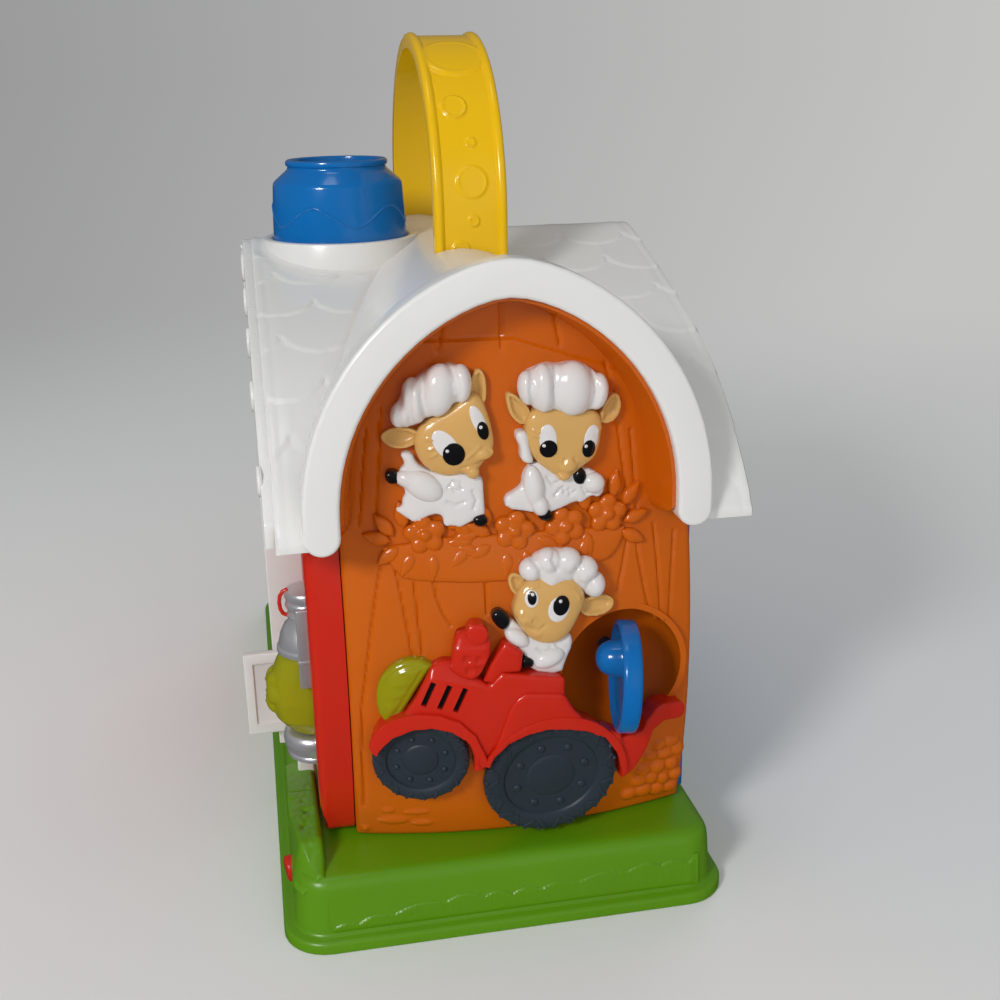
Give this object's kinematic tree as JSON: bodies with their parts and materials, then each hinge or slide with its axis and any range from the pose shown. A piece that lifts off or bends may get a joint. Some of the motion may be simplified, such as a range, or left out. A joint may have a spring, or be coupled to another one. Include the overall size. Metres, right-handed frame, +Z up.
{
  "type": "toy barn",
  "caption": "Hollow activity barn toy with a strap handle, hooded ends with lambs in relief, a tractor with turning wheels, a disc knob, a chimney button and a lantern button.",
  "frame": {"origin": "on the table under the middle of the roof ridge, midway between the sides of the foot flange", "axes": "+Z up, -Y out of the end with the tractor, -X out of the long facade with the lantern and the door"},
  "size_m": [0.193, 0.3631, 0.3349],
  "materials": {
    "green": "glossy",
    "dark_green": "satin",
    "red": "glossy",
    "blue": "glossy",
    "orange": "glossy",
    "white": "glossy",
    "yellow": "glossy",
    "slate": "glossy",
    "lens": "glossy",
    "silver": "glossy",
    "steel": "glossy",
    "cell": "glossy",
    "board": "satin",
    "clip": "satin",
    "led": "glossy",
    "black": "satin"
  },
  "bodies": {
    "house": {"base_tray": "green", "red_dot": "red", "base_cover": "dark_green", "battery_door": "dark_green", "door_screw": "steel", "battery_left": "cell", "battery_mid": "cell", "battery_right": "cell", "contact_front": "steel", "contact_rear": "steel", "screw_fl": "steel", "screw_fr": "steel", "screw_bl": "steel", "screw_br": "steel", "left_wall": "red", "right_wall": "blue", "front_panel": "orange", "front_loft": "orange", "back_panel": "orange", "back_loft": "orange", "roof_left": "white", "roof_right": "white", "vault": "white", "hood_front": "white", "hood_back": "white", "gable_trim": "white", "handle": "yellow", "chimney_spring": "steel", "tractor_body": "red", "headlight_lens": "lens", "lamb_left": "white", "lamb_right": "white", "lamb_driver": "white", "lantern_frame": "silver", "lantern_bail": "red", "lantern_spring": "steel", "lantern_board": "board", "led_lantern": "led", "door_post": "white", "door_pin": "steel", "circuit_board": "board", "speaker": "black", "led_headlight": "led"},
    "chimney": {"chimney_cup": "blue"},
    "front_wheel": {"wheel_front": "slate", "clip_front": "clip"},
    "rear_wheel": {"wheel_rear": "slate", "clip_rear": "clip"},
    "turn_knob": {"knob": "blue", "knob_clip": "clip"},
    "lantern": {"lantern_lens": "lens"},
    "door": {"side_door": "white"},
    "switch": {"power_switch": "black"}
  },
  "joints": [
    {"name": "chimney_press", "type": "slide", "parent": "house", "child": "chimney", "axis": [0, 0, -1], "range_m": [0, 0.004], "stiffness_N_per_m": 600, "springref_m": -0.004, "deforming": ["chimney_spring"]},
    {"name": "front_wheel_turn", "type": "hinge", "parent": "house", "child": "front_wheel", "pos_m": [-0.032, -0.15626, 0.0705], "axis": [-0.166, -0.9793, -0.116], "continuous": true},
    {"name": "rear_wheel_turn", "type": "hinge", "parent": "house", "child": "rear_wheel", "pos_m": [0.0175, -0.15793, 0.0585], "axis": [0.032, -0.9859, -0.164], "continuous": true},
    {"name": "knob_turn", "type": "hinge", "parent": "house", "child": "turn_knob", "pos_m": [0.0468, -0.15864, 0.0985], "axis": [0, 1, 0], "continuous": true},
    {"name": "lantern_press", "type": "slide", "parent": "house", "child": "lantern", "axis": [1, 0, 0], "range_m": [0, 0.0025], "stiffness_N_per_m": 500, "springref_m": -0.001, "deforming": ["lantern_spring"]},
    {"name": "door_swing", "type": "hinge", "parent": "house", "child": "door", "pos_m": [-0.0725, -0.064, 0.0375], "axis": [0, 0, 1], "range_deg": [0, 90]},
    {"name": "switch_slide", "type": "slide", "parent": "house", "child": "switch", "axis": [0, 1, 0], "range_m": [0, 0.008]}
  ]
}
